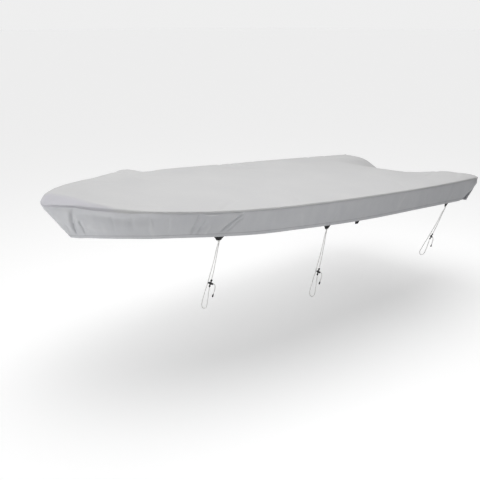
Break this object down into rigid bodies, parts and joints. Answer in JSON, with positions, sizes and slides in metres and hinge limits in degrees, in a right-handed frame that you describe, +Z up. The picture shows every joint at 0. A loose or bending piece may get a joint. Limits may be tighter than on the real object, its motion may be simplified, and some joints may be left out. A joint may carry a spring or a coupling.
{
  "type": "boat cover",
  "caption": "Fitted cover of pale grey woven cloth for an open dinghy, with a deep skirt, a folded hem, black webbing tabs and white tie-down cords. The boat is left out.",
  "frame": {"origin": "on the underside of the top panel, on the centre line, 2.075 m aft of the stem's line, where the boat would hold the cover up", "axes": "+X aft, +Y to starboard, +Z up"},
  "size_m": [4.155, 1.7816, 1.057],
  "materials": {
    "cover_cloth": "matt coated woven cloth, pale grey",
    "tab_webbing": "black woven webbing",
    "tie_cord": "white braided cord",
    "tie_plastic": "black moulded plastic, satin"
  },
  "bodies": {
    "root": {"top_panel": "cover_cloth", "skirt_port": "cover_cloth", "skirt_starboard": "cover_cloth", "skirt_transom": "cover_cloth", "tab_port_1": "tab_webbing", "tab_port_2": "tab_webbing", "tab_port_3": "tab_webbing", "tab_port_spare": "tab_webbing", "tab_starboard_1": "tab_webbing", "tab_starboard_2": "tab_webbing", "tab_starboard_3": "tab_webbing", "tab_starboard_spare": "tab_webbing", "long_cord_port_1": "tie_cord", "short_cord_port_1": "tie_cord", "tail_cord_port_1": "tie_cord", "knot_port_1": "tie_cord", "tensioner_port_1": "tie_plastic", "end_cap_port_1": "tie_plastic", "long_cord_port_2": "tie_cord", "short_cord_port_2": "tie_cord", "tail_cord_port_2": "tie_cord", "knot_port_2": "tie_cord", "tensioner_port_2": "tie_plastic", "end_cap_port_2": "tie_plastic", "long_cord_port_3": "tie_cord", "short_cord_port_3": "tie_cord", "tail_cord_port_3": "tie_cord", "knot_port_3": "tie_cord", "tensioner_port_3": "tie_plastic", "end_cap_port_3": "tie_plastic"}
  },
  "joints": []
}
